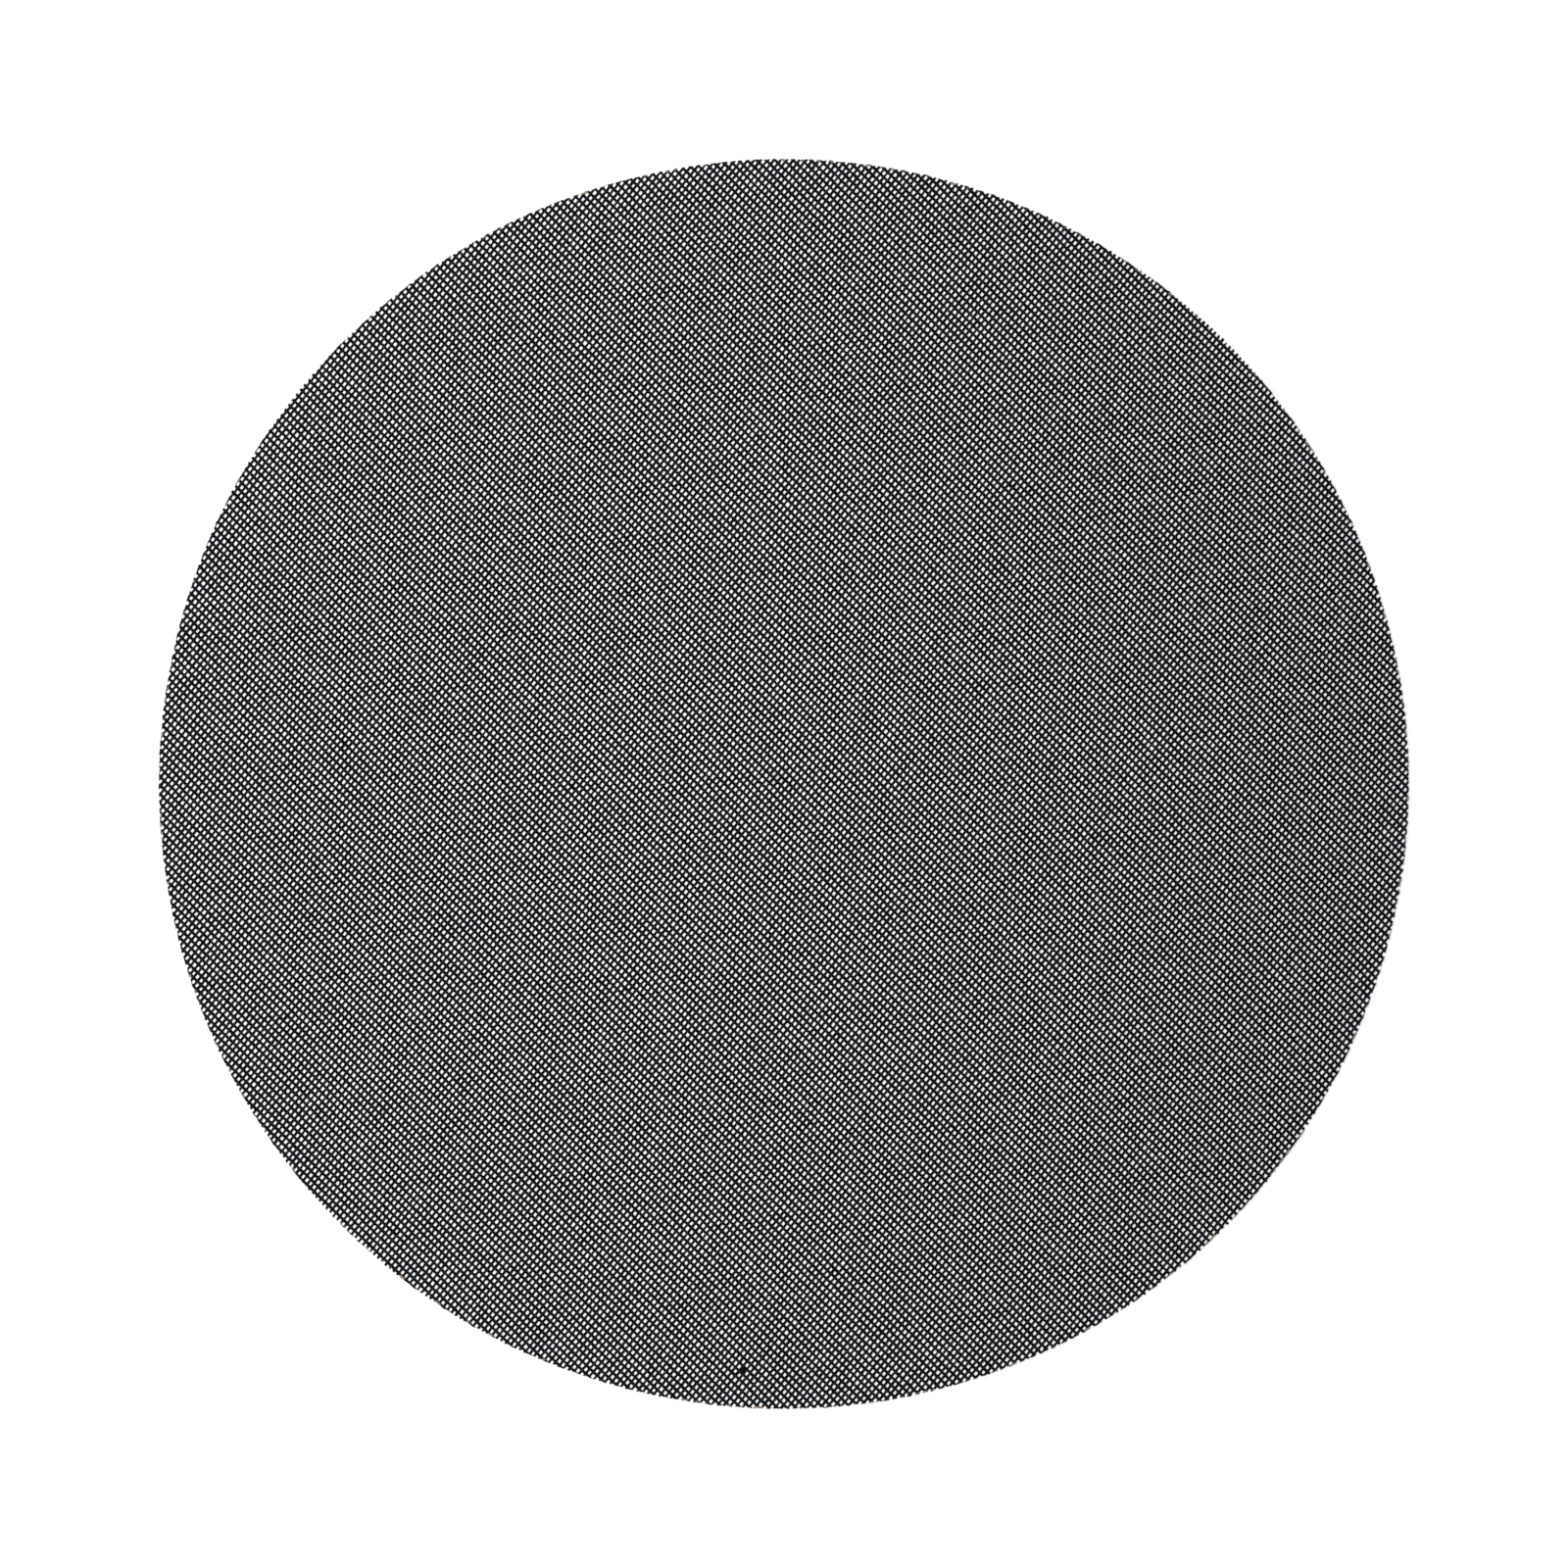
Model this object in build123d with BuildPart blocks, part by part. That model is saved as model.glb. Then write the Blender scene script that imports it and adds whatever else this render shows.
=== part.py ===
from build123d import *
from math import floor, radians, sin, sqrt
import os

# Mesh sanding disc for a floor buffer. Two families of glass strands are knitted into one open
# sheet, set in resin, coated with grit on both faces and die-cut to a plain round disc.
# It lies flat on the floor: the warp strands are ridges on the pad face, above, and the weft
# strands are ridges on the floor face. The origin is on the floor under the disc's centre, and
# +X runs along the warp.

disc_diameter = 406.0

# Warp strands, on the pad face
warp_pitch = 1.648
warp_width = 0.82
warp_crest = 0.40
warp_rise = 0.35

# Weft strands, on the floor face. They cross the warp a little off square.
weft_pitch = 2.063
weft_width = 0.90
weft_crest = 0.44
weft_rise = 0.35
crossing_angle = 84.8

# A strand is rounded: halfway up, at its shoulder, it still has this share of its width.
shoulder = 0.88

# The layer in which the two families lie in each other and the resin joins them
web_thickness = 0.30

# About a quarter of the mesh is open. The fine cells are gathered in a plain grid of openings:
# of each run of strands, so many are laid side by side and the rest are left out.
warp_run = 20
warp_laid = 11
weft_run = 16
weft_laid = 9

# The web stays closed along the rim. The die cuts each strand off square, with its outer corner
# just inside the web's edge.
rim_width = 2.0
strand_setback = 0.60

disc_radius = disc_diameter / 2
web_bottom = weft_rise
web_top = web_bottom + web_thickness

up = Vector(0, 0, 1)
along_warp = Vector(1, 0, 0)
along_weft = along_warp.rotate(Axis.Z, crossing_angle)


def mesh_point(across_warp, across_weft):
    """The point that lies so far across each family from the disc's centre."""
    crossing_sine = sin(radians(crossing_angle))
    return (along_weft * across_warp - along_warp * across_weft) * (1 / crossing_sine)


def opening_middles():
    """Middles of the openings, where both families leave strands out."""
    row_step = warp_pitch * warp_run
    column_step = weft_pitch * weft_run
    rows = floor(disc_diameter / row_step)
    columns = floor(disc_diameter / column_step)
    middles = []
    for row in range(-rows, rows + 1):
        for column in range(-columns, columns + 1):
            middle = mesh_point((row + 1 / 2) * row_step, (column + 1 / 2) * column_step)
            if middle.length < disc_radius - rim_width:
                middles.append(middle)
    return middles


def opening_corners():
    """Corners of one opening about its middle. It reaches from strand to strand both ways."""
    half_across_warp = ((warp_run - warp_laid + 1) * warp_pitch - warp_width) / 2
    half_across_weft = ((weft_run - weft_laid + 1) * weft_pitch - weft_width) / 2
    corners = [
        mesh_point(half_across_warp, half_across_weft),
        mesh_point(-half_across_warp, half_across_weft),
        mesh_point(-half_across_warp, -half_across_weft),
        mesh_point(half_across_warp, -half_across_weft),
    ]
    return [(corner.X, corner.Y) for corner in corners]


def laid_strands(pitch, width, run, laid):
    """Numbers of the strands that are laid, counted from the one over the disc's centre."""
    each_side = floor((disc_radius - strand_setback - width / 2) / pitch)
    return [
        number for number in range(-each_side, each_side + 1) if (number + laid // 2) % run < laid
    ]


def ridges(numbers, along, outward, height, pitch, width, crest, rise):
    """One family's strands, side by side across the disc, each as long as the rim lets it be."""
    across = outward.cross(along)
    reach = disc_radius - strand_setback
    strands = []
    for number in numbers:
        outer_edge = abs(number) * pitch + width / 2
        half_length = sqrt(reach**2 - outer_edge**2)
        cut_end = across * (number * pitch) - along * half_length + up * height
        with BuildPart() as strand:
            with BuildSketch(Plane(origin=cut_end, x_dir=across, z_dir=along)):
                Polygon(
                    (-width / 2, 0),
                    (width / 2, 0),
                    (shoulder * width / 2, rise / 2),
                    (crest / 2, rise),
                    (-crest / 2, rise),
                    (-shoulder * width / 2, rise / 2),
                    align=None,
                )
            extrude(amount=2 * half_length)
        strands.append(strand.part)
    return strands


warp_strands = laid_strands(warp_pitch, warp_width, warp_run, warp_laid)
weft_strands = laid_strands(weft_pitch, weft_width, weft_run, weft_laid)
warp_ridges = ridges(
    warp_strands, along_warp, up, web_top, warp_pitch, warp_width, warp_crest, warp_rise
)
weft_ridges = ridges(
    weft_strands, along_weft, -up, web_bottom, weft_pitch, weft_width, weft_crest, weft_rise
)

with BuildSketch() as openings:
    with Locations(*opening_middles()):
        Polygon(*opening_corners(), align=None)
    Circle(disc_radius - rim_width, mode=Mode.INTERSECT)

with BuildPart() as sanding_mesh:
    # The web
    with BuildSketch(Plane.XY.offset(web_bottom)):
        Circle(disc_radius)
        add(openings.sketch, mode=Mode.SUBTRACT)
    extrude(amount=web_thickness)

    # The strands that stand proud of it on either face
    add(warp_ridges)
    add(weft_ridges)

sanding_mesh.part.label = "sanding_mesh"

os.makedirs("parts", exist_ok=True)
export_step(sanding_mesh.part, "parts/sanding_mesh.step")
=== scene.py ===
import bpy
import math
import numpy as np
from mathutils import Matrix, Vector

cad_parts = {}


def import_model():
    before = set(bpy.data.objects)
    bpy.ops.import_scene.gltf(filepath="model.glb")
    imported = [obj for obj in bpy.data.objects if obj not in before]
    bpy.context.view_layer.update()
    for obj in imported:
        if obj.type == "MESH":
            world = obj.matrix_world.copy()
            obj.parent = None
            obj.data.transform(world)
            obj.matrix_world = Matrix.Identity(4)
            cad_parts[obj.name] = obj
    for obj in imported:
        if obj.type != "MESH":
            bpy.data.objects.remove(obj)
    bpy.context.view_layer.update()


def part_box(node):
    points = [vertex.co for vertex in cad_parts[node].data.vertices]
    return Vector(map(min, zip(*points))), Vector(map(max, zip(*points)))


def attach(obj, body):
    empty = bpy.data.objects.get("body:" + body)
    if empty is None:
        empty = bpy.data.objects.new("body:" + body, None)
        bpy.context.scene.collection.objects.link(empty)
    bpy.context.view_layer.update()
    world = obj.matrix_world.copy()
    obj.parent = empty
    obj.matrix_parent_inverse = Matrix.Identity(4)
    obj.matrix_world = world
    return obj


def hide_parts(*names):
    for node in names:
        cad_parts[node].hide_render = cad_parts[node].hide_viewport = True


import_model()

# A mesh sanding disc with every one of its cells, which lies as it does in the photograph.
# Everything is in metres. The part's +X runs along the warp, as in the CAD frame.
MM = 0.001
low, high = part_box("sanding_mesh")
radius = (high.x - low.x) / 2
thickness = high.z - low.z

# The mesh, as the CAD part has it
warp_pitch = 1.648 * MM
warp_width = 0.82 * MM
weft_pitch = 2.063 * MM
weft_width = 0.90 * MM
crossing_angle = math.radians(84.8)

# The photograph: its side in pixels, the warp's angle in it, how many pixels the disc is across,
# and what one pixel is on the disc
photo_size = 1600
photo_warp_angle = math.radians(51.3)
photo_disc_pixels = 1277
pixel = 2 * radius / photo_disc_pixels

# All the irregularity of the mesh is drawn from this one generator.
rng = np.random.default_rng(16)


def from_photo(x, y):
    """The point of the part, seen from above, that lies at a pixel of the photograph."""
    right = (x - photo_size / 2) * pixel
    up = (photo_size / 2 - y) * pixel
    return Vector((right, up)) @ Matrix.Rotation(photo_warp_angle, 2)


def add_object(name, data):
    """A mesh, lamp or camera, put in the scene as an object."""
    made = bpy.data.objects.new(name, data)
    bpy.context.scene.collection.objects.link(made)
    return made


# Lattice

# Irregularity of the knitting: whole strands lie off their pitch and single crossings off their
# strand, and both drift softly over the sheet, over about so many cells.
strand_wander = 0.045 * MM
crossing_wander = 0.022 * MM
drift = 0.027 * MM
drift_cells = 9

# The sheet is a little bowed: each strand curves away at one of its ends, by twice this much.
warp_bow = 0.63 * MM
weft_bow = 0.45 * MM

# Warp strands knit in pairs: every other row of cells is wider by this share of the pitch, and
# the rows between are narrower.
row_pair_spread = 0.025

# The mesh is laid so many strands past the rim on each side, and cut off there.
spare_strands = 3

# Openings: how their sides vary, as a share of the strand, how their corners vary, and how far
# along each side the coat fills a corner
side_spread = 0.085
corner_spread = 0.030 * MM
corner_cut = 0.13 * MM

# Heights, as shares of the thickness: the edge of an opening, and how that and the crests vary
hole_level = 0.50
hole_level_spread = 0.08
crest_spread = 0.05

# The disc's centre isn't quite in the middle of a cell: that lies off it by these shares of the
# pitches.
middle_across_warp = -0.21
middle_across_weft = 0.06


def between(near, far, share):
    """What lies this share of the way from near to far."""
    return near * (1 - share) + far * share


def smooth_random(rows, columns, cells_apart):
    """Random values over the lattice, drawn so many cells apart and smooth between."""
    # The drawn values reach past the last row and column.
    drawn = rng.normal(size=(rows // cells_apart + 3, columns // cells_apart + 3))
    row = np.arange(rows) / cells_apart
    column = np.arange(columns) / cells_apart
    row_low = row.astype(int)
    column_low = column.astype(int)

    def every_column(lines):
        return between(lines[:, column_low], lines[:, column_low + 1], column - column_low)

    row_share = (row - row_low)[:, None]
    return between(every_column(drawn[row_low]), every_column(drawn[row_low + 1]), row_share)


def lattice():
    """The x and y of each crossing, with a row for each warp strand and a column for each weft."""
    rows_each_side = math.ceil(radius / warp_pitch) + spare_strands
    columns_each_side = math.ceil(radius / weft_pitch) + spare_strands
    row = np.arange(-rows_each_side, rows_each_side)
    column = np.arange(-columns_each_side, columns_each_side)
    rows = len(row)
    columns = len(column)

    across_warp = ((row - 0.5 + middle_across_warp) * warp_pitch)[:, None] * np.ones((1, columns))
    across_weft = ((column - 0.5 + middle_across_weft) * weft_pitch)[None, :] * np.ones((rows, 1))

    along_share = across_weft / radius
    across_share = across_warp / radius
    across_warp += warp_bow * (along_share**2 - along_share**3)
    across_weft += weft_bow * (across_share**2 + across_share**3)
    across_warp += strand_wander * rng.normal(size=(rows, 1))
    across_warp += crossing_wander * rng.normal(size=(rows, columns))
    across_weft += strand_wander * rng.normal(size=(1, columns))
    across_weft += crossing_wander * rng.normal(size=(rows, columns))
    across_warp += drift * smooth_random(rows, columns, drift_cells)
    across_weft += drift * smooth_random(rows, columns, drift_cells)
    across_warp += (row % 2)[:, None] * row_pair_spread * warp_pitch

    x = (across_warp * math.cos(crossing_angle) + across_weft) / math.sin(crossing_angle)
    return x, across_warp


def opening_corners(x, y, row_number, column_number):
    """The eight corners of each opening, two where the coat fills each corner of its cell.

    A point is its x, y and z, and its place in the mesh, counted in weft and in warp strands.
    """
    shape = (x.shape[0] - 1, x.shape[1] - 1)
    warp_share = warp_width / warp_pitch / 2
    weft_share = weft_width / weft_pitch / 2
    low_row = warp_share * (1 + side_spread * rng.normal(size=shape))
    high_row = 1 - warp_share * (1 + side_spread * rng.normal(size=shape))
    low_column = weft_share * (1 + side_spread * rng.normal(size=shape))
    high_column = 1 - weft_share * (1 + side_spread * rng.normal(size=shape))
    row_cut = corner_cut / warp_pitch
    column_cut = corner_cut / weft_pitch
    corners = [
        (low_row + row_cut, low_column), (low_row, low_column + column_cut),
        (low_row, high_column - column_cut), (low_row + row_cut, high_column),
        (high_row - row_cut, high_column), (high_row, high_column - column_cut),
        (high_row, low_column + column_cut), (high_row - row_cut, low_column),
    ]
    points = np.empty((*shape, 8, 5))
    for number, (row_share, column_share) in enumerate(corners):
        for axis, plane in enumerate((x, y)):
            near = between(plane[:-1, :-1], plane[:-1, 1:], column_share)
            far = between(plane[1:, :-1], plane[1:, 1:], column_share)
            points[..., number, axis] = between(near, far, row_share)
        points[..., number, 3] = column_number[:-1, :-1] + column_share
        points[..., number, 4] = row_number[:-1, :-1] + row_share
    points[..., 0] += corner_spread * rng.normal(size=(*shape, 8))
    points[..., 1] += corner_spread * rng.normal(size=(*shape, 8))
    points[..., 2] = thickness * (hole_level + hole_level_spread * rng.normal(size=(*shape, 8)))
    return points


def mesh_arrays():
    """Points, upper and lower triangles, the row of cells of each, and the openings' outlines."""
    x, y = lattice()
    rows, columns = x.shape
    row_number, column_number = np.indices((rows, columns)).astype(float)
    crest = thickness * (1 - crest_spread * rng.random((rows, columns)))
    base = thickness * crest_spread * rng.random((rows, columns))
    top = np.stack([x, y, crest, column_number, row_number], -1)
    bottom = np.stack([x, y, base, column_number, row_number], -1)
    holes = opening_corners(x, y, row_number, column_number)
    vertices = np.concatenate([part.reshape(-1, 5) for part in (top, bottom, holes)])

    # Each cell is a ring between its four crossings and its opening, above and below. Each side of
    # the ring has three triangles.
    crossing_count = rows * columns
    cell_rows = rows - 1
    cell_columns = columns - 1
    crossing = np.arange(crossing_count).reshape(rows, columns)
    cell_corner = [crossing[:-1, :-1], crossing[:-1, 1:], crossing[1:, 1:], crossing[1:, :-1]]
    opening = np.arange(cell_rows * cell_columns).reshape(cell_rows, cell_columns)
    first_hole = 2 * crossing_count + 8 * opening
    upper = []
    for side in range(4):
        here = cell_corner[side]
        after = cell_corner[(side + 1) % 4]
        hole_before = first_hole + 2 * side
        hole_here = first_hole + 2 * side + 1
        hole_after = first_hole + (2 * side + 2) % 8
        upper.append(np.stack([here, hole_here, hole_before], -1))
        upper.append(np.stack([here, after, hole_after], -1))
        upper.append(np.stack([here, hole_after, hole_here], -1))
    triangles_per_row = cell_columns * len(upper)
    upper = np.stack(upper, 2).reshape(-1, 3)
    lower = np.where(upper < crossing_count, upper + crossing_count, upper)[:, ::-1]
    cell_row = np.repeat(np.arange(cell_rows), triangles_per_row)
    return vertices, upper, lower, cell_row, holes[..., :3].reshape(-1, 8, 3)


# Rim

# The line of the cut wanders in slow waves and is ragged in quick ones, so many round the disc.
cut_wander = 0.08 * MM
slow_waves = (2, 3, 5, 9, 17, 31)
ragged_cut = 0.09 * MM
quick_waves = (331, 547, 823)


def rim_excess(vertices):
    """How far each point lies outside the line of the cut."""
    angle = np.arctan2(vertices[:, 1], vertices[:, 0])
    line = np.full(len(vertices), radius - 2 * cut_wander - ragged_cut)
    for waves in slow_waves:
        line += cut_wander / waves**0.5 * np.sin(waves * angle + rng.uniform(0, 2 * math.pi))
    for waves in quick_waves:
        line += ragged_cut * np.sin(waves * angle + rng.uniform(0, 2 * math.pi))
    return np.hypot(vertices[:, 0], vertices[:, 1]) - line


def clip(vertices, triangles, tags):
    """The points, the triangles inside the cut with their tags, and the cut's edges with theirs."""
    excess = rim_excess(vertices)
    outside = excess[triangles] > 0
    count = outside.sum(1)
    whole = count == 0

    # Turn each crossed triangle so that the corner that is alone on its side comes first.
    crossed = np.flatnonzero((count == 1) | (count == 2))
    corners = triangles[crossed]
    alone_outside = count[crossed] == 1
    lone = np.argmax(outside[crossed] == alone_outside[:, None], 1)
    turned = corners[np.arange(len(corners))[:, None], (lone[:, None] + np.arange(3)) % 3]

    # The cut crosses the two sides that meet in the lone corner. Neighbours share its points.
    sides = np.concatenate([turned[:, [0, 1]], turned[:, [0, 2]]])
    crossed_sides, side_number = np.unique(np.sort(sides, 1), axis=0, return_inverse=True)
    start, end = crossed_sides.T
    share = excess[start] / (excess[start] - excess[end])
    cut_points = vertices[start] + (vertices[end] - vertices[start]) * share[:, None]
    cut = len(vertices) + side_number.reshape(2, -1).T
    vertices = np.concatenate([vertices, cut_points])

    # A corner alone inside leaves a tip. A corner alone outside leaves a stub of two triangles.
    lone_inside = ~alone_outside
    tips = np.stack([turned[:, 0], cut[:, 0], cut[:, 1]], 1)[lone_inside]
    stub_a = np.stack([cut[:, 0], turned[:, 1], turned[:, 2]], 1)[alone_outside]
    stub_b = np.stack([cut[:, 0], turned[:, 2], cut[:, 1]], 1)[alone_outside]
    kept = np.concatenate([triangles[whole], tips, stub_a, stub_b])
    cut_tags = tags[crossed]
    stub_tags = cut_tags[alone_outside]
    kept_tags = np.concatenate([tags[whole], cut_tags[lone_inside], stub_tags, stub_tags])
    cut_edges = np.where(lone_inside[:, None], cut, cut[:, ::-1])
    return vertices, kept, kept_tags, cut_edges, cut_tags


def end_faces(upper_cut, lower_cut, tags):
    """Faces that close the strands where they are cut through."""
    first = np.stack([upper_cut[:, 1], upper_cut[:, 0], lower_cut[:, 1]], 1)
    second = np.stack([upper_cut[:, 1], lower_cut[:, 1], lower_cut[:, 0]], 1)
    triangles = np.concatenate([first, second])
    tags = np.concatenate([tags, tags])
    a, b, c = triangles.T
    real = (a != b) & (b != c) & (a != c)
    return triangles[real], tags[real]


def point_normals(vertices, triangles):
    """Smooth normals of the coat, the same on both sides of a seam between pieces."""
    a, b, c = (vertices[triangles[:, corner], :3] for corner in range(3))
    face = np.cross(b - a, c - a)
    normals = np.zeros((len(vertices), 3))
    for axis in range(3):
        for corner in range(3):
            normals[:, axis] += np.bincount(triangles[:, corner], face[:, axis], len(vertices))
    length = np.linalg.norm(normals, axis=1, keepdims=True)
    return normals / np.maximum(length, 1e-20)


def build_piece(name, vertices, normals, triangles, end_start, materials):
    """One mesh object. Triangles from end_start on are the cut ends, with the second material."""
    used, compact = np.unique(triangles, return_inverse=True)
    compact = compact.reshape(-1, 3)
    is_end = np.arange(len(compact)) >= end_start
    mesh = bpy.data.meshes.new(name)
    mesh.vertices.add(len(used))
    mesh.vertices.foreach_set("co", vertices[used, :3].astype(np.float32).ravel())
    mesh.loops.add(compact.size)
    mesh.loops.foreach_set("vertex_index", compact.astype(np.int32).ravel())
    mesh.polygons.add(len(compact))
    mesh.polygons.foreach_set("loop_start", np.arange(0, compact.size, 3, dtype=np.int32))
    mesh.polygons.foreach_set("material_index", is_end.astype(np.int32))
    mesh.update(calc_edges=True)
    mesh.polygons.foreach_set("use_smooth", np.ones(len(compact), bool))
    mesh.normals_split_custom_set_from_vertices(normals[used])
    strands = mesh.attributes.new("strands", "FLOAT2", "POINT")
    strands.data.foreach_set("vector", vertices[used, 3:].astype(np.float32).ravel())
    for material in materials:
        mesh.materials.append(material)
    return add_object(name, mesh)


# The mesh is made in so many bands of cells, side by side.
band_count = 6


def sanding_mesh(materials):
    """The bands that make up the whole mesh, and the outline of each opening."""
    vertices, upper, lower, cell_row, hole_outlines = mesh_arrays()
    both = np.concatenate([upper, lower])
    tags = np.concatenate([cell_row, cell_row])
    vertices, coat, coat_tags, cut_edges, cut_tags = clip(vertices, both, tags)
    half = len(cut_edges) // 2
    ends, end_tags = end_faces(cut_edges[:half], cut_edges[half:], cut_tags[:half])
    normals = point_normals(vertices, coat)

    # The cut ends have points of their own, with normals that face outward.
    end_points, end_index = np.unique(ends, return_inverse=True)
    ends = len(vertices) + end_index.reshape(-1, 3)
    outward = vertices[end_points, :3] * np.array([1, 1, 0])
    outward /= np.linalg.norm(outward, axis=1, keepdims=True)
    vertices = np.concatenate([vertices, vertices[end_points]])
    normals = np.concatenate([normals, outward])

    limits = np.quantile(coat_tags, np.linspace(0, 1, band_count + 1)[1:-1])
    coat_band = np.searchsorted(limits, coat_tags)
    end_band = np.searchsorted(limits, end_tags)
    pieces = []
    for band in range(band_count):
        coat_part = coat[coat_band == band]
        triangles = np.concatenate([coat_part, ends[end_band == band]])
        pieces.append(build_piece(f"mesh_band_{band + 1}", vertices, normals, triangles,
                                  len(coat_part), materials))
    return pieces, hole_outlines


# Openings that the coat or the resin has closed

# Where the photograph shows one filled with grit, and where it shows a film of dried resin
grit_plugs = [(759, 1399)]
grit_plug_depth = 0.25 * MM
resin_films = [(786, 786), (789, 789), (786, 795), (794, 792), (782, 801), (789, 799), (797, 797),
               (771, 796), (812, 803)]
resin_film_depth = 0.05 * MM

# A skin is larger than its opening by this factor, so its edge runs into the strands around it.
skin_reach = 1.12


def close_openings(name, places, outlines, depth, material):
    """A lens-shaped skin across the opening nearest to each place."""
    level = thickness * hole_level
    vertices = []
    faces = []
    middles = outlines.mean(1)
    for place in places:
        at = from_photo(*place)
        nearest = np.argmin(np.hypot(middles[:, 0] - at.x, middles[:, 1] - at.y))
        middle = middles[nearest]
        first = len(vertices)
        for corner in outlines[nearest]:
            reached = middle + (corner - middle) * skin_reach
            vertices.append((reached[0], reached[1], level))
        above = len(vertices)
        below = above + 1
        vertices.append((middle[0], middle[1], level + depth))
        vertices.append((middle[0], middle[1], level - depth))
        for corner in range(8):
            here = first + corner
            after = first + (corner + 1) % 8
            faces.append((after, here, above))
            faces.append((here, after, below))
    mesh = bpy.data.meshes.new(name)
    mesh.from_pydata(vertices, [], faces)
    mesh.materials.append(material)
    return add_object(name, mesh)


# Materials

class Nodes:
    """A tree of shader nodes, with short ways to fill it.

    An input takes a number, a colour, a vector or another node's output.
    """

    def __init__(self, tree):
        self.tree = tree

    def put(self, socket, value):
        if isinstance(value, bpy.types.NodeSocket):
            self.tree.links.new(value, socket)
        else:
            socket.default_value = value

    def fill(self, node, **inputs):
        """Give a node its inputs. Where an input's name has a blank, the keyword has a _."""
        for name, value in inputs.items():
            self.put(node.inputs[name.replace("_", " ")], value)

    def add(self, kind, **inputs):
        """A new node with its inputs."""
        node = self.tree.nodes.new(kind)
        self.fill(node, **inputs)
        return node

    def math(self, operation, *values, kind="ShaderNodeMath", result="Value"):
        """The result of one sum."""
        node = self.tree.nodes.new(kind)
        node.operation = operation
        for socket, value in zip(node.inputs, values):
            self.put(socket, value)
        return node.outputs[result]

    def vector_math(self, operation, *values, result="Vector"):
        """The result of one sum with vectors. A length or a distance is its Value."""
        return self.math(operation, *values, kind="ShaderNodeVectorMath", result=result)

    def ramp(self, value, start, end):
        """0 at the start and before it, 1 at the end and past it. The end may be the lower one."""
        node = self.add("ShaderNodeMapRange", Value=value, From_Min=start, From_Max=end)
        node.interpolation_type = "SMOOTHSTEP"
        return node.outputs["Result"]

    def tone(self, value, start, dark, end, light):
        """The dark colour up to the start, the light one from the end on."""
        node = self.add("ShaderNodeValToRGB", Fac=value)
        first, last = node.color_ramp.elements
        first.position = start
        first.color = (*dark, 1)
        last.position = end
        last.color = (*light, 1)
        return node.outputs["Color"]


def node_material(name):
    """A new material, its nodes and its shader."""
    material = bpy.data.materials.new(name)
    material.use_nodes = True
    return material, Nodes(material.node_tree), material.node_tree.nodes["Principled BSDF"]


# By the cut the coat has flaked off and bares the tan glass: in patches where a noise is high, and
# round the ends that the photograph shows the barest.
tan_glass = (0.42, 0.32, 0.20)
flake_depth = 0.55 * MM
flake_size = 2.2 * MM
flake_start = 0.61
flake_full = 0.66
bare_ends = [(241, 489), (698, 1428), (1381, 1059), (1110, 1356), (771, 1434), (1165, 276),
             (1414, 627), (375, 1275), (594, 196), (942, 1421), (1237, 1262), (1312, 416),
             (346, 1248), (1399, 575)]
bare_end_radius = 1.5 * MM
barest_radius = 1.0 * MM


def bare_glass(nodes, place):
    """1 where the coat is off, 0 where it holds."""
    patches = nodes.add("ShaderNodeTexNoise", Vector=place, Scale=1 / flake_size, Detail=1.0)
    flakes = nodes.ramp(patches.outputs["Fac"], flake_start, flake_full)
    for end in bare_ends:
        end_point = (*from_photo(*end), thickness / 2)
        away = nodes.vector_math("DISTANCE", place, end_point, result="Value")
        flakes = nodes.math("MAXIMUM", flakes, nodes.ramp(away, bare_end_radius, barest_radius))
    flat = nodes.vector_math("MULTIPLY", place, (1, 1, 0))
    from_centre = nodes.vector_math("LENGTH", flat, result="Value")
    rim = nodes.ramp(from_centre, radius - 2 * flake_depth, radius - flake_depth)
    return nodes.math("MULTIPLY", flakes, rim)


# The grit: how large its grains and its clumps are, and how deep the bump of each is
grain_size = 0.16 * MM
grain_depth = 0.06 * MM
clump_size = 0.55 * MM
clump_depth = 0.12 * MM

# Its tone is a sum: so much of its clumps, of the painted highlight and shade at the knots and of
# single grains, and an offset. The grit is darkest up to one value of that sum, and lightest at
# another.
clump_share = 1.80
knot_highlight_share = 0.20
grain_share = 0.24
tone_offset = -0.42
darkest_tone = 0.44
lightest_tone = 1.0
dark_grit = (0.0003, 0.0004, 0.0006)
light_grit = (0.0240, 0.0260, 0.0290)


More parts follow.
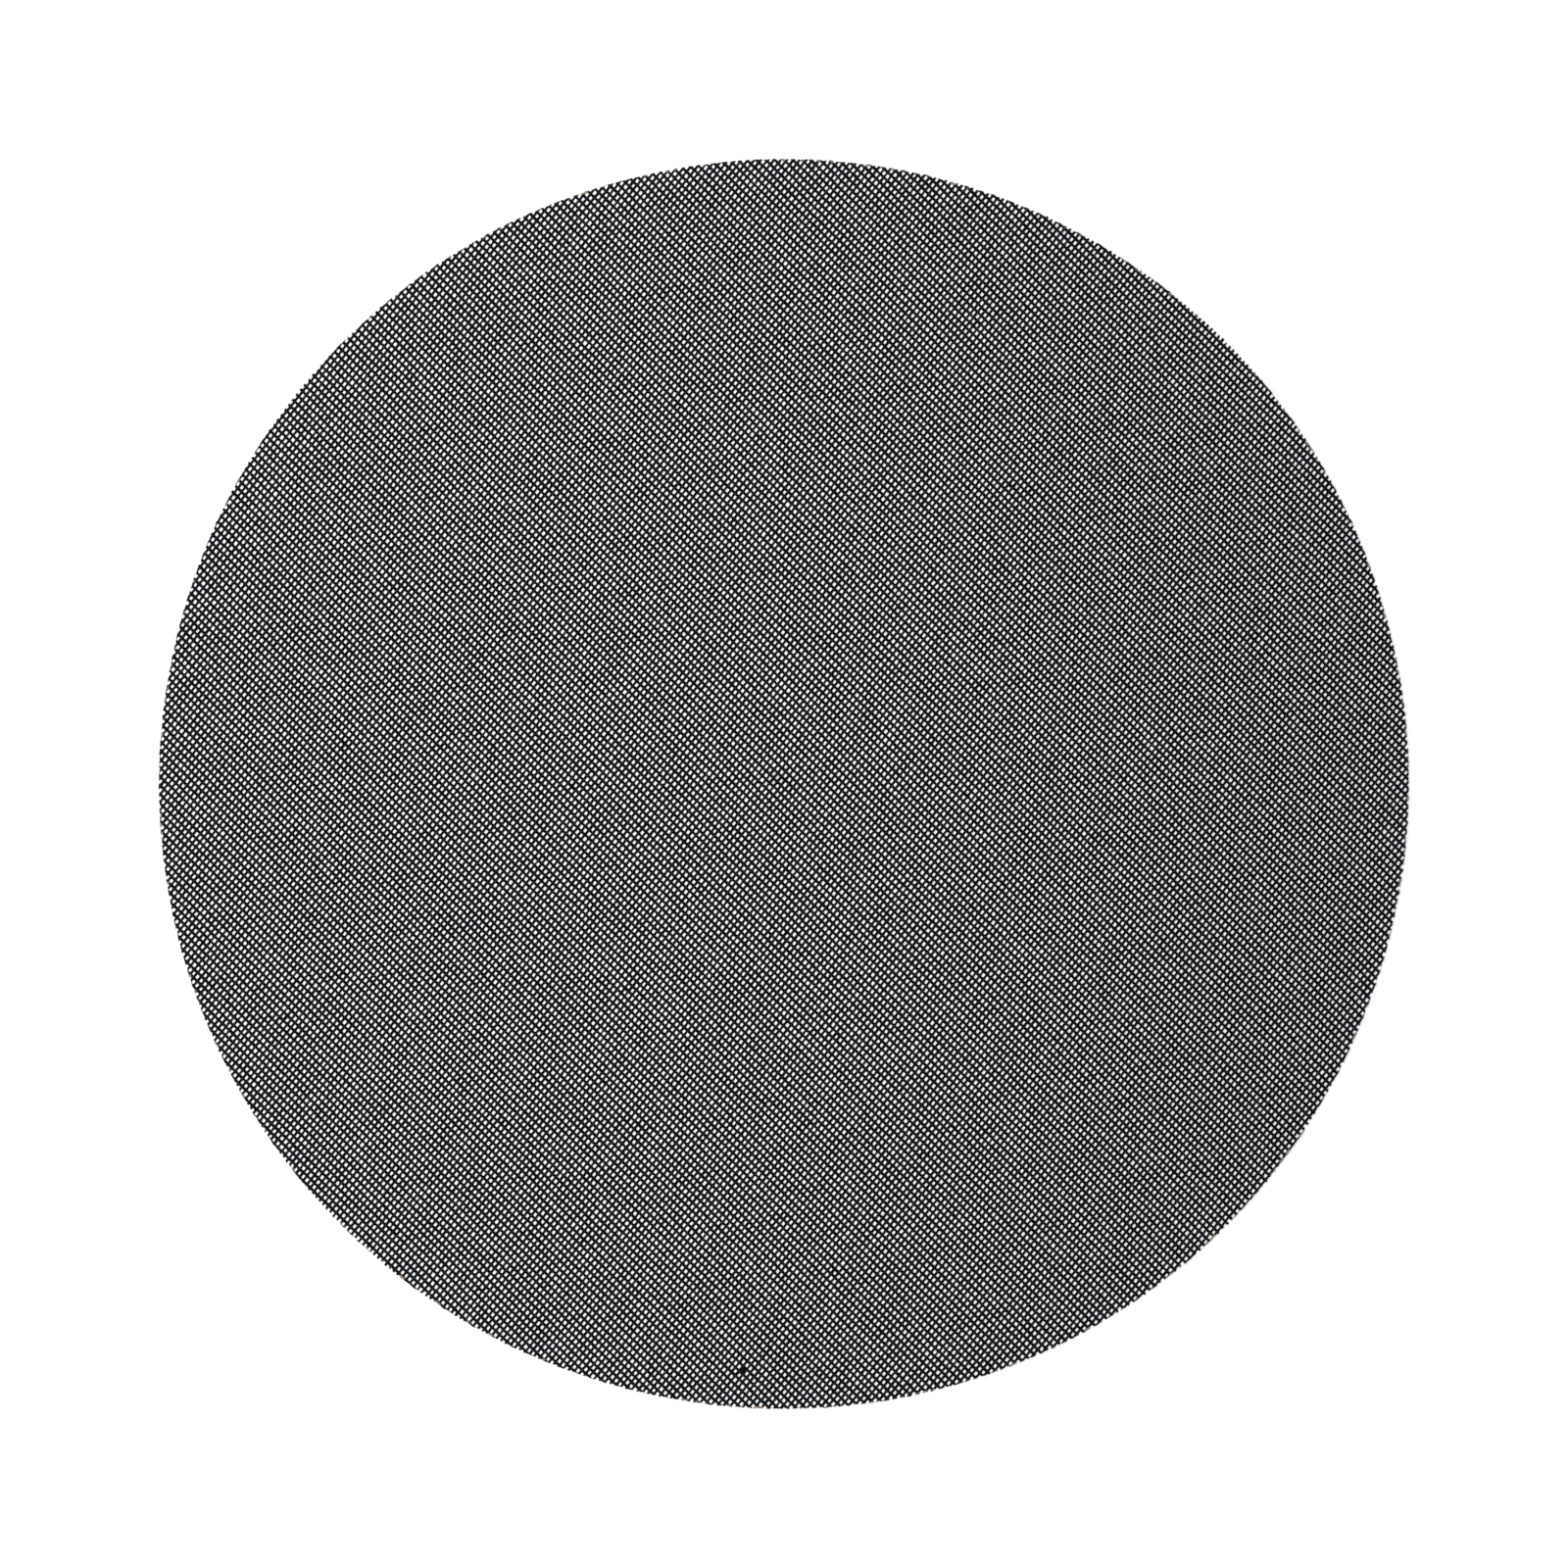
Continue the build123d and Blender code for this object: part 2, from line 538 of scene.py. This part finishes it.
def grit_material():
    """Black silicon carbide grains in dark resin."""
    material, nodes, shader = node_material("black_grit")
    place = nodes.add("ShaderNodeTexCoord").outputs["Object"]
    grains = nodes.add("ShaderNodeTexVoronoi", Vector=place, Scale=1 / grain_size)
    grain = nodes.add("ShaderNodeSeparateColor", Color=grains.outputs["Color"])
    clumps = nodes.add("ShaderNodeTexNoise", Vector=place, Scale=1 / clump_size, Detail=2.0)

    # Each crossing is a knot that stands in the light, and the grit is painted lighter there as a
    #     # painted highlight. The strand between two knots lies deeper, and is painted darker as
    #     painted shade.
    strands = nodes.add("ShaderNodeAttribute")
    strands.attribute_name = "strands"
    full_turn = (2 * math.pi, 2 * math.pi, 0)
    turns = nodes.vector_math("MULTIPLY", strands.outputs["Vector"], full_turn)
    across = nodes.add("ShaderNodeSeparateXYZ", Vector=turns)
    knot_highlight = nodes.math("MULTIPLY", nodes.math("COSINE", across.outputs["X"]),
                       nodes.math("COSINE", across.outputs["Y"]))

    total = nodes.math("MULTIPLY_ADD", clumps.outputs["Fac"], clump_share, tone_offset)
    total = nodes.math("MULTIPLY_ADD", knot_highlight, knot_highlight_share, total)
    total = nodes.math("MULTIPLY_ADD", grain.outputs["Red"], grain_share, total)
    coat = nodes.tone(total, darkest_tone, dark_grit, lightest_tone, light_grit)
    color = nodes.add("ShaderNodeMix")
    color.data_type = "RGBA"
    nodes.fill(color, Factor=bare_glass(nodes, place), A=coat, B=(*tan_glass, 1))

    roughness = nodes.add("ShaderNodeMapRange", Value=grain.outputs["Green"],
                          To_Min=0.45, To_Max=0.85)
    fine = nodes.add("ShaderNodeBump", Height=grains.outputs["Distance"], Strength=0.7,
                     Distance=grain_depth)
    fine.invert = True
    lumps = nodes.add("ShaderNodeBump", Height=clumps.outputs["Fac"], Strength=0.6,
                      Distance=clump_depth, Normal=fine.outputs["Normal"])
    nodes.fill(shader, Base_Color=color.outputs["Result"], Roughness=roughness.outputs["Result"],
               Specular_IOR_Level=0.01, Normal=lumps.outputs["Normal"])
    return material


# The cut ends: patches of bare and of smeared glass, and the fibres in them
end_patch_size = 2.5 * MM
smeared_glass = (0.006, 0.006, 0.007)
cut_glass = (0.50, 0.34, 0.21)
fibre_size = 0.05 * MM
fibre_depth = 0.03 * MM


def cut_end_material():
    """Cut glass and resin: brown to tan in places, black where the coat was smeared over it."""
    material, nodes, shader = node_material("cut_glass")
    place = nodes.add("ShaderNodeTexCoord").outputs["Object"]
    patches = nodes.add("ShaderNodeTexNoise", Vector=place, Scale=1 / end_patch_size, Detail=2.0)
    color = nodes.tone(patches.outputs["Fac"], start=0.42, dark=smeared_glass,
                       end=0.62, light=cut_glass)
    fibres = nodes.add("ShaderNodeTexNoise", Vector=place, Scale=1 / fibre_size)
    bump = nodes.add("ShaderNodeBump", Height=fibres.outputs["Fac"], Strength=0.5,
                     Distance=fibre_depth)
    nodes.fill(shader, Base_Color=color, Roughness=0.7, Specular_IOR_Level=0.3,
               Normal=bump.outputs["Normal"])
    return material


# The dried resin: how large its clouds are, and their two colours
cloud_size = 1.1 * MM
grey_resin = (0.62, 0.67, 0.72)
milky_resin = (0.78, 0.81, 0.84)


def resin_material():
    """A thin clear skin of dried resin, a little cloudy and a little glossy."""
    material, nodes, shader = node_material("dried_resin")
    place = nodes.add("ShaderNodeTexCoord").outputs["Object"]
    cloud = nodes.add("ShaderNodeTexNoise", Vector=place, Scale=1 / cloud_size, Detail=2.0)
    color = nodes.tone(cloud.outputs["Fac"], start=0.35, dark=grey_resin,
                       end=0.65, light=milky_resin)
    nodes.fill(shader, Base_Color=color, Roughness=0.45, Specular_IOR_Level=0.2, Alpha=0.16)
    return material


# Stage

# The floor glows less under the disc, as painted shade there. From just inside the rim it brightens
# outward, and further out it is pure white.
floor_reach = 4.0
floor_color = (0.87, 0.87, 0.90)
glow_color = (0.95, 0.955, 1.0)
shaded_glow_under_disc = 0.32
pale_floor_radius = 0.92 * radius
white_floor_radius = 0.33

# How strongly the surroundings light the disc. The camera sees them at 1, which is white.
surrounding_light = 0.38

# The lamp: the pixel of the photograph that it hangs over, its height, size and power in watts
lamp_place = (450, 560)
lamp_height = 0.52
lamp_width = 0.3
lamp_length = 1.0
lamp_power = 2.9

# The camera: its lens and sensor in millimetres, and how near it still sees
camera_lens = 100.0
camera_sensor = 36.0
camera_near = 0.01


def white_for_camera(nodes):
    """1 for rays from the camera, a gloss or a clear body, and 0 for rays that gather light."""
    path = nodes.add("ShaderNodeLightPath").outputs
    seen = nodes.math("MAXIMUM", path["Is Camera Ray"], path["Is Glossy Ray"])
    return nodes.math("MAXIMUM", seen, path["Is Transmission Ray"])


def floor():
    """A plain pale floor, which takes the disc's shadow. Its glow is seen but lights nothing."""
    far = floor_reach
    corners = [(-far, -far, 0), (far, -far, 0), (far, far, 0), (-far, far, 0)]
    mesh = bpy.data.meshes.new("floor")
    mesh.from_pydata(corners, [], [(0, 1, 2, 3)])
    plane = add_object("floor", mesh)

    material, nodes, shader = node_material("floor_white")
    nodes.fill(shader, Base_Color=(*floor_color, 1), Roughness=0.9, Specular_IOR_Level=0.0)
    place = nodes.add("ShaderNodeTexCoord").outputs["Object"]
    from_centre = nodes.vector_math("LENGTH", place, result="Value")
    # The weaker glow under the disc is painted shade.
    outward = nodes.ramp(from_centre, pale_floor_radius, white_floor_radius)
    level = nodes.math("MULTIPLY_ADD", outward, 1 - shaded_glow_under_disc, shaded_glow_under_disc)
    glow = nodes.add("ShaderNodeEmission", Color=(*glow_color, 1),
                     Strength=nodes.math("MULTIPLY", level, white_for_camera(nodes)))
    both = nodes.add("ShaderNodeAddShader")
    nodes.put(both.inputs[0], shader.outputs["BSDF"])
    nodes.put(both.inputs[1], glow.outputs["Emission"])
    nodes.fill(nodes.tree.nodes["Material Output"], Surface=both.outputs["Shader"])
    mesh.materials.append(material)


def world():
    """Even light from all round, dimmer than the white that the camera sees there."""
    surroundings = bpy.data.worlds.new("studio")
    bpy.context.scene.world = surroundings
    surroundings.use_nodes = True
    nodes = Nodes(surroundings.node_tree)
    strength = nodes.add("ShaderNodeMapRange", Value=white_for_camera(nodes),
                         To_Min=surrounding_light, To_Max=1.0)
    nodes.fill(nodes.tree.nodes["Background"], Color=(1, 1, 1, 1),
               Strength=strength.outputs["Result"])


def strip_light():
    """A long soft lamp overhead, on the photograph's left, which runs up and down the picture."""
    lamp = bpy.data.lights.new("strip", "AREA")
    lamp.shape = "RECTANGLE"
    lamp.size = lamp_width
    lamp.size_y = lamp_length
    lamp.energy = lamp_power
    holder = add_object("strip", lamp)
    holder.location = (*from_photo(*lamp_place), lamp_height)
    holder.rotation_euler = (0, 0, -photo_warp_angle)


def camera():
    """Straight above the disc, turned so that the warp runs as in the photograph."""
    view_width = photo_size * pixel
    data = bpy.data.cameras.new("camera")
    data.lens = camera_lens
    data.sensor_width = camera_sensor
    data.clip_start = camera_near
    holder = add_object("camera", data)
    holder.location = (0, 0, thickness + view_width * camera_lens / camera_sensor)
    holder.rotation_euler = (0, 0, -photo_warp_angle)
    bpy.context.scene.camera = holder


camera()
world()
floor()
strip_light()

grit = grit_material()
pieces, openings = sanding_mesh([grit, cut_end_material()])
pieces.append(close_openings("grit_plugs", grit_plugs, openings, grit_plug_depth, grit))
pieces.append(close_openings("resin_films", resin_films, openings, resin_film_depth,
                             resin_material()))
for piece in pieces:
    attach(piece, "root")
    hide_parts("sanding_mesh")

bpy.context.scene.view_settings.view_transform = "Standard"
